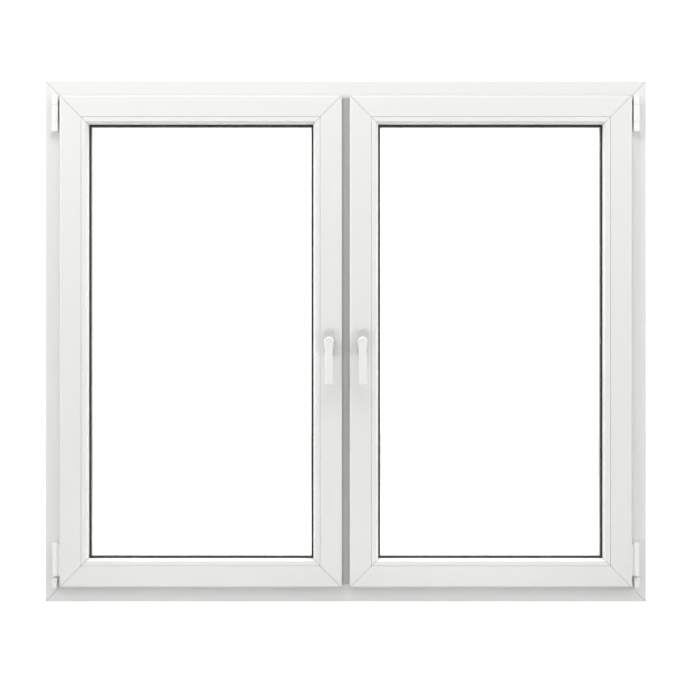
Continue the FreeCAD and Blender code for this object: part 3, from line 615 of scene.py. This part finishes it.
# ---------------------------------------------------------------------------------------------------
# Sash bars: four lengths of hollow white PVC for each sash, mitred and welded. They have a lip that
# covers the frame, a groove for the locking gear and a rebate for the glass.
sash_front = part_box("sash_bottom_rail_left")[0].y
sash_outline = [
    (0, 15, 1),
    (0, 0, 6),
    (54, 0, 0.8),
    (54, 6.4, 0),
    (50, 6.4, 0),
    (50, 9.6, 0),
    (54, 9.6, 0),
    (54, 58, 0),
    (71, 58, 1),
    (71, 70, 3),
    (20, 70, 1),
    (20, 39, 0),
    (22.5, 39, 0),
    (22.5, 36, 0),
    (26.1, 36, 0),
    (26.1, 26, 0),
    (22.5, 26, 0),
    (22.5, 23, 0),
    (20, 23, 0),
    (20, 15, 0),
]
sash_chambers = [
    chamber(3, 47, 3, 12),
    chamber(29.1, 47, 15, 51),
    chamber(23, 47, 54, 67),
    chamber(50, 68, 61, 67),
]
sash_rects = {}
sash_parts = {"bottom": "bottom_rail", "top": "top_rail", "left": "hinge_stile", "right": "lock_stile"}
for hand in ("left", "right"):
    outer, inner = ("hinge_stile", "lock_stile") if hand == "left" else ("lock_stile", "hinge_stile")
    sash_rects[hand] = (
        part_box(f"sash_{outer}_{hand}")[0].x,
        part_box(f"sash_{inner}_{hand}")[1].x,
        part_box(f"sash_bottom_rail_{hand}")[0].z,
        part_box(f"sash_top_rail_{hand}")[1].z,
    )
    for side in side_turns:
        part = sash_parts[side]
        if hand == "right" and side in ("left", "right"):
            part = sash_parts["right" if side == "left" else "left"]
        node = f"sash_{part}_{hand}"
        finish = [pvc_level if side in ("bottom", "top") else pvc_upright, weld_groove]
        mitred_side(
            node + "_bar",
            sash_outline,
            sash_chambers,
            sash_rects[hand],
            side,
            sash_front,
            "sash_" + hand,
            [node],
            finish,
        )
    finish_node("sash_reinforcement_" + hand, galvanised)

# ---------------------------------------------------------------------------------------------------
# Locking gear: a zinc-plated gear case in the lock stile, a sliding rod with mushroom cams, and the
# faceplates that cover the groove and guide the cams and the stay.
for hand in ("left", "right"):
    for node in ("gear_case_", "drive_rod_", "faceplates_"):
        finish_node(node + hand, zinc)

# ---------------------------------------------------------------------------------------------------
# Double glazing: two sheets of clear float glass, 4 mm thick with ground edges, 16 mm apart. They stand
# on the setting blocks and are held between the gaskets.
clear_glass = bpy.data.materials.new("clear_glass")
clear_glass.use_nodes = True
glass_tree = clear_glass.node_tree
glass_shader = glass_tree.nodes["Principled BSDF"]
glass_shader.inputs["Transmission Weight"].default_value = 1.0
glass_shader.inputs["Roughness"].default_value = 0.0
glass_shader.inputs["IOR"].default_value = 1.5
glass_place = glass_tree.nodes.new("ShaderNodeTexCoord")
glass_skin = glass_tree.nodes.new("ShaderNodeGroup")
glass_skin.node_tree = skin_group
glass_tint = glass_tree.nodes.new("ShaderNodeMix")
glass_tint.data_type = "RGBA"
glass_tint.inputs["A"].default_value = (0.990, 0.999, 0.995, 1.0)
glass_tint.inputs["B"].default_value = (0.984, 0.997, 0.991, 1.0)
glass_tree.links.new(glass_place.outputs["Object"], glass_skin.inputs["Vector"])
glass_tree.links.new(glass_skin.outputs["Drift"], glass_tint.inputs["Factor"])
glass_tree.links.new(glass_tint.outputs["Result"], glass_shader.inputs["Base Color"])
light_path = glass_tree.nodes.new("ShaderNodeLightPath")
see_through = glass_tree.nodes.new("ShaderNodeBsdfTransparent")
either = glass_tree.nodes.new("ShaderNodeMixShader")
glass_tree.links.new(light_path.outputs["Is Shadow Ray"], either.inputs["Fac"])
glass_tree.links.new(glass_shader.outputs["BSDF"], either.inputs[1])
glass_tree.links.new(see_through.outputs["BSDF"], either.inputs[2])
glass_tree.links.new(either.outputs["Shader"], glass_tree.nodes["Material Output"].inputs["Surface"])
glass_edge = 0.6
for hand in ("left", "right"):
    for node in ("pane_inner_", "pane_outer_"):
        low, high = (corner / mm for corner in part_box(node + hand))
        put(
            rounded_block(low, high, glass_edge),
            node + hand + "_sheet",
            "sash_" + hand,
            [clear_glass],
            [node + hand],
        )

# ---------------------------------------------------------------------------------------------------
# Spacer bar and edge seal: a bent aluminium channel with a fine slot holds the two sheets apart, and
# black sealant behind it keeps the unit airtight.
spacer_metal = surface(
    "spacer_aluminium",
    colour=(0.34, 0.315, 0.26), second=(0.40, 0.37, 0.31),
    roughness=(0.30, 0.42),
    ripple=800.0, drift=12.0, bump=0.1, metallic=1.0,
)
spacer_outline = [
    (70, 35, 0),
    (77, 35, 0.8),
    (77, 42.6, 0),
    (76.5, 42.6, 0),
    (76.5, 43.4, 0),
    (77, 43.4, 0),
    (77, 51, 0.8),
    (70, 51, 0),
]
sealant_outline = [(59, 35, 0), (70, 35, 0), (70, 51, 0), (59, 51, 0)]


def sash_band(name, hand, outline, material, node, gap=None):
    """A strip round a sash. Its depths are measured from the sash's room face."""
    bm = band(sash_rects[hand], outline, gap)
    bmesh.ops.translate(bm, vec=(0, sash_front, 0), verts=bm.verts)
    put(bm, name + hand, "sash_" + hand, [material], [node + hand])


for hand in ("left", "right"):
    sash_band("spacer_channel_", hand, spacer_outline, spacer_metal, "spacer_bar_")
    sash_band("unit_sealant_", hand, sealant_outline, black_rubber, "edge_sealant_")

# ---------------------------------------------------------------------------------------------------
# Setting blocks: moulded plastic packers, laid loose under, over and beside the glass, which carry its
# weight and square it in the sash.
block_blue = surface(
    "packer_plastic",
    colour=(0.10, 0.22, 0.46), second=(0.12, 0.26, 0.50),
    roughness=(0.45, 0.60),
    ripple=500.0, drift=20.0, bump=0.15,
)
for hand in ("left", "right"):
    finish_node("setting_blocks_" + hand, block_blue)

# ---------------------------------------------------------------------------------------------------
# Glazing gaskets: black rubber wedges on both faces of the glass, pressed in round the bead and round
# the sash, with a sloping lip that wipes the glass.
room_gasket = [(62, 28, 0), (74.5, 28, 0), (76, 29.2, 0.5), (76, 31, 0), (62, 31, 0)]
outer_gasket = [(62, 55, 0), (76, 55, 0), (76, 56.8, 0.5), (74.5, 58, 0), (62, 58, 0)]
for hand in ("left", "right"):
    sash_band("room_gasket_", hand, room_gasket, black_rubber, "glazing_gaskets_")
    sash_band("outer_gasket_", hand, outer_gasket, black_rubber, "glazing_gaskets_")

# ---------------------------------------------------------------------------------------------------
# Glazing beads: four hollow white strips to each sash, stepped and sloped towards the glass. They are
# cut to a mitre, not welded, and snap into a slot in the sash, so a fine dark joint shows at a corner.
# Painted light: the beads are a copy of the sash's PVC made 2% brighter, to stand for the light caught by
# their rounded slopes.
bead_level = pvc("white_bead_level", "X", 1.02)
bead_upright = pvc("white_bead_upright", "Z", 1.02)
bead_joint = surface(
    "bead_joint",
    colour=(0.10, 0.10, 0.10), second=(0.16, 0.16, 0.16),
    roughness=(0.6, 0.8),
    ripple=300.0, drift=40.0, bump=0.2,
)
bead_outline = [
    (54, 4.2, 0),
    (54.5, 1.4, 0.2),
    (55.1, 1, 0.2),
    (65.4, 1, 0.3),
    (65.4, 2.4, 0),
    (65.9, 2.4, 0),
    (71, 9, 1.5),
    (71, 28, 0),
    (54, 28, 0),
    (54, 9.5, 0),
    (50.2, 9.5, 0),
    (50.2, 6.5, 0),
    (54, 6.5, 0),
]
bead_seam = 0.3 * mm
bead_chamber = [(56.2, 4.6), (64.2, 4.6), (68.8, 10.4), (68.8, 25.8), (56.2, 25.8)]
for hand in ("left", "right"):
    for side in side_turns:
        mitred_side(
            f"glazing_bead_{side}_{hand}",
            bead_outline,
            [bead_chamber],
            sash_rects[hand],
            side,
            sash_front,
            "sash_" + hand,
            ["glazing_beads_" + hand],
            [bead_level if side in ("bottom", "top") else bead_upright, bead_joint],
            bead_seam,
        )

# ---------------------------------------------------------------------------------------------------
# Sash seals: a black rubber strip on the back of each sash's lip, left out where the stay arm's crank
# passes between the lip and the frame.
sash_seal_outline = [(1.5, 15, 0), (1.5, 17.4, 1), (7, 17.4, 1), (7, 15, 0)]
crank_low, crank_high = 1201.4 * mm, 1251.5 * mm
for hand in ("left", "right"):
    gap = (hand, crank_low, crank_high)
    sash_band("lip_seal_", hand, sash_seal_outline, black_rubber, "sash_seal_", gap)

# ---------------------------------------------------------------------------------------------------
# Hinge sleeves: at the foot of each sash, a white barrel with a closed, rounded top turns on the
# corner pin, and the block beside it is screwed to the sash's edge.
sleeve_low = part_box("hinge_sleeve_left")[0].z / mm
sleeve_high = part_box("hinge_sleeve_left")[1].z / mm
sleeve_radius = 6.4
sleeve_round = 2
pin_end = sleeve_high - 19.5
block_front, block_back = hinge_y - 1, hinge_y + 6
block_low, block_high = sleeve_low + 1, sleeve_high - 4
block_edge = 0.5
sleeve_outline = [
    (sleeve_low, bore_radius, 0.3),
    (sleeve_low, sleeve_radius, 0.6),
    (sleeve_high, sleeve_radius, sleeve_round),
    (sleeve_high, 0, 0),
    (pin_end, 0, 0),
    (pin_end, bore_radius, 0),
]
for hand in ("left", "right"):
    sleeve_block = rounded_block(
        (hinge_x + bore_radius, block_front, block_low),
        (sash_rects["left"][0] / mm, block_back, block_high),
        block_edge,
    )
    sleeve = joined(turned(sleeve_outline, (hinge_x, hinge_y, 0)), sleeve_block)
    put(
        handed(sleeve, hand),
        "hinge_barrel_" + hand,
        "sash_" + hand,
        [hinge_white],
        ["hinge_sleeve_" + hand],
    )

# ---------------------------------------------------------------------------------------------------
# Stay arms: a zinc-plated steel strap cranked round the sash's lip, with a white barrel on the frame's
# pin at one end and a riveted stud at the other that slides in the top rail's faceplate.
arm_thickness = (1246.5, 1249.5)
crank_front, crank_back = -37.4, -35.6
crank_outer, crank_inner = -719, -700
crank_foot = 1203.4
crank_edge = 0.3
bridge_end = crank_outer + 1
stud_place = (-425.5, -22, 0)
strap_outline = [
    (-37.4, -719, 0.5),
    (-37.4, -692.4, 0.5),
    (-28, -692.4, 2),
    (-28, -419.5, 5.9),
    (-16, -419.5, 5.9),
    (-16, -704.4, 1),
    (-35.6, -704.4, 1),
    (-35.6, -719, 0.5),
]
stud_outline = [
    (1237.4, 0, 0),
    (1237.4, 3, 0.5),
    (1249.5, 3, 0),
    (1250.1, 2.6, 0.3),
    (1250.1, 0, 0),
]
barrel_outline = [
    (arm_low, bore_radius, 0.2),
    (arm_low, barrel_radius, barrel_edge),
    (arm_high, barrel_radius, barrel_edge),
    (arm_high, bore_radius, 0.2),
]


def strap(outline, low, high):
    """A flat strap cut to an outline of (depth, across, corner rounding), between two heights."""
    bm = bmesh.new()
    section_face(bm, outline)
    lie_flat = Matrix(((0, 1, 0, 0), (0, 0, 1, 0), (1, 0, 0, 0), (0, 0, 0, 1)))
    bmesh.ops.transform(bm, matrix=lie_flat, verts=bm.verts)
    bmesh.ops.translate(bm, vec=(0, 0, low * mm), verts=bm.verts)
    moved = bmesh.ops.extrude_face_region(bm, geom=bm.faces[:])["geom"]
    raised = [v for v in moved if isinstance(v, bmesh.types.BMVert)]
    bmesh.ops.translate(bm, vec=(0, 0, (high - low) * mm), verts=raised)
    bmesh.ops.recalc_face_normals(bm, faces=bm.faces[:])
    return bm


for hand in ("left", "right"):
    crank = rounded_block(
        (crank_outer, crank_front, crank_foot), (crank_inner, crank_back, arm_thickness[1]), crank_edge
    )
    bridge = rounded_block(
        (hinge_x + bore_radius + 1, hinge_y + 1, crank_foot), (bridge_end, crank_back, arm_high), crank_edge
    )
    stud = turned(stud_outline, stud_place, steps=24)
    arm = joined(strap(strap_outline, *arm_thickness), crank, bridge, stud)
    body = "stay_arm_" + hand
    put(handed(arm, hand), "stay_strap_" + hand, body, [zinc], [body])
    barrel = turned(barrel_outline, (hinge_x, hinge_y, 0))
    put(handed(barrel, hand), "stay_barrel_" + hand, body, [hinge_white], [body])

# ---------------------------------------------------------------------------------------------------
# Rosettes: a hollow white cap over the handle's two fixing screws, powder coated, with a bored boss in
# which the lever's neck turns. The cross-headed screws clamp the gear case.
# Painted shade: the rosette's white powder coat is darkened to grey (0.63 against the lever's 0.92) to stand
# for the shade under and round the lever.
rosette_painted_shade = surface(
    "rosette_painted_shade",
    colour=(0.63, 0.63, 0.625), second=(0.60, 0.60, 0.595),
    roughness=(0.30, 0.42),
    ripple=1300.0, drift=16.0, bump=0.18, coat=0.3,
)
rosette_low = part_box("rosette_left")[0] / mm
rosette_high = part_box("rosette_left")[1] / mm
handle_x = (rosette_low.x + rosette_high.x) / 2
handle_z = (rosette_low.z + rosette_high.z) / 2
rosette_wall = 1.8
rosette_front = 2.8
rosette_corner = 13.9
rosette_edge = 4.0
circle_steps = 48
cavity_front = rosette_low.y + rosette_front
cavity_corner = rosette_corner - rosette_wall
neck_bore = 8.56
boss_radius = 11.0


def upright_face(bm, outline, y):
    """A section of (up, across, corner rounding) that faces the room at one depth."""
    face = section_face(bm, outline, 12)
    bmesh.ops.transform(
        bm,
        matrix=Matrix.Translation((0, y * mm, 0)) @ Matrix.Rotation(math.radians(-90), 4, "Z"),
        verts=list(face.verts),
    )
    return face


def rosette_outline(set_in, corner):
    return [
        (rosette_low.z + set_in, rosette_low.x + set_in, corner),
        (rosette_low.z + set_in, rosette_high.x - set_in, corner),
        (rosette_high.z - set_in, rosette_high.x - set_in, corner),
        (rosette_high.z - set_in, rosette_low.x + set_in, corner),
    ]


def rim(bm, face):
    """The edges of a face that is taken away."""
    edges = list(face.edges)
    bmesh.ops.delete(bm, geom=[face], context="FACES_ONLY")
    return edges


def circle(bm, radius, y):
    middle = Matrix.Translation((handle_x * mm, y * mm, handle_z * mm))
    made = bmesh.ops.create_circle(
        bm,
        cap_ends=False,
        segments=circle_steps,
        radius=radius * mm,
        matrix=middle @ Matrix.Rotation(math.radians(90), 4, "X"),
    )
    return list({edge for vert in made["verts"] for edge in vert.link_edges})


for hand in ("left", "right"):
    bm = bmesh.new()
    back_face = upright_face(bm, rosette_outline(0, rosette_corner), rosette_high.y)
    moved = bmesh.ops.extrude_face_region(bm, geom=[back_face])["geom"]
    thickness = (rosette_high.y - rosette_low.y) * mm
    raised = [v for v in moved if isinstance(v, bmesh.types.BMVert)]
    bmesh.ops.translate(bm, vec=(0, -thickness, 0), verts=raised)
    front_face = next(g for g in moved if isinstance(g, bmesh.types.BMFace))
    bmesh.ops.bevel(
        bm,
        geom=list(front_face.edges),
        offset=rosette_edge * mm,
        segments=7,
        profile=0.5,
        affect="EDGES",
        material=-1,
    )
    flat = [f for f in bm.faces if len(f.verts) > 8]
    front_face = min(flat, key=lambda f: f.calc_center_median().y)
    back_face = max(flat, key=lambda f: f.calc_center_median().y)
    front, back = rim(bm, front_face), rim(bm, back_face)
    cavity_back = rim(bm, upright_face(bm, rosette_outline(rosette_wall, cavity_corner), rosette_high.y))
    cavity_top = rim(bm, upright_face(bm, rosette_outline(rosette_wall, cavity_corner), cavity_front))
    bore_front = circle(bm, neck_bore, rosette_low.y)
    bore_back = circle(bm, neck_bore, rosette_high.y)
    boss_front = circle(bm, boss_radius, cavity_front)
    boss_back = circle(bm, boss_radius, rosette_high.y)
    for edges in (front + bore_front, back + cavity_back, cavity_top + boss_front, bore_back + boss_back):
        bmesh.ops.triangle_fill(bm, edges=edges, use_beauty=True)
    for edges in (cavity_back + cavity_top, bore_front + bore_back, boss_front + boss_back):
        bmesh.ops.bridge_loops(bm, edges=edges)
    bmesh.ops.recalc_face_normals(bm, faces=bm.faces[:])
    node = "rosette_" + hand
    put(handed(bm, hand), node + "_cap", "sash_" + hand, [rosette_painted_shade], [node])
    finish_node("rosette_screws_" + hand, zinc)

# ---------------------------------------------------------------------------------------------------
# Levers: die-cast and powder coated white, with a round head, softly rounded edges and a grip that
# thins a little towards its end. The flared neck turns in the rosette, on a square steel spindle.
lever_white = surface(
    "lever_white",
    colour=(0.92, 0.92, 0.91), second=(0.90, 0.90, 0.89),
    roughness=(0.26, 0.36),
    ripple=1300.0, drift=16.0, bump=0.15, coat=0.35,
)
lever_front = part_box("lever_left")[0].y / mm
lever_thickness = 15
lever_back = lever_front + lever_thickness
lever_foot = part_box("lever_left")[0].z / mm
neck_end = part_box("lever_left")[1].y / mm
head = 11.75
grip_half = 9
grip_corner = 5
shoulder_round = 9
grip_thinning = 2.5
shoulder_drop = 2.2
shoulder = handle_z - shoulder_drop * head
lever_outline = [
    (handle_z + head, handle_x - head, head - 0.02),
    (handle_z + head, handle_x + head, head - 0.02),
    (handle_z, handle_x + head, 0),
    (shoulder, handle_x + grip_half, shoulder_round),
    (lever_foot, handle_x + grip_half, grip_corner),
    (lever_foot, handle_x - grip_half, grip_corner),
    (shoulder, handle_x - grip_half, shoulder_round),
    (handle_z, handle_x - head, 0),
]
neck_radius = 8.5
neck_flare = 11
neck_outline = [
    (-neck_end, 0, 0),
    (-neck_end, neck_radius, 0.4),
    (-lever_back - 4.5, neck_radius, 3),
    (-lever_back + 0.2, neck_flare, 0.3),
    (-lever_back + 1.5, neck_flare, 0),
    (-lever_back + 1.5, 0, 0),
]
cuts = 12
cut_margin = 6
sharp = math.radians(60)
lever_edges = ((lever_front, 4.0, 7), (lever_back, 1.5, 4))
for hand in ("left", "right"):
    bm = bmesh.new()
    upright_face(bm, lever_outline, lever_back)
    moved = bmesh.ops.extrude_face_region(bm, geom=bm.faces[:])["geom"]
    drawn = [v for v in moved if isinstance(v, bmesh.types.BMVert)]
    bmesh.ops.translate(bm, vec=(0, (lever_front - lever_back) * mm, 0), verts=drawn)
    bmesh.ops.recalc_face_normals(bm, faces=bm.faces[:])
    for k in range(1, cuts):
        height = lever_foot + cut_margin + (shoulder - lever_foot - 2 * cut_margin) * k / cuts
        bmesh.ops.bisect_plane(
            bm,
            geom=bm.verts[:] + bm.edges[:] + bm.faces[:],
            plane_co=(0, 0, height * mm),
            plane_no=(0, 0, 1),
            dist=1e-7,
        )
    for depth, radius, segments in lever_edges:
        edges = [
            e
            for e in bm.edges
            if all(abs(v.co.y - depth * mm) < same_place for v in e.verts) and e.calc_face_angle(0) > sharp
        ]
        bmesh.ops.bevel(
            bm, geom=edges, offset=radius * mm, segments=segments, profile=0.5, affect="EDGES", material=-1
        )
    for vert in bm.verts:
        down = max(0.0, (shoulder * mm - vert.co.z) / ((shoulder - lever_foot) * mm))
        forward = (lever_back * mm - vert.co.y) / ((lever_back - lever_front) * mm)
        vert.co.y += grip_thinning * mm * down**2 * forward
    lever = joined(bm, turned(neck_outline, (handle_x, 0, handle_z), "Y"))
    node = "lever_" + hand
    put(handed(lever, hand), node + "_grip", "handle_" + hand, [lever_white], [node], 35.0)
    finish_node("spindle_" + hand, zinc)
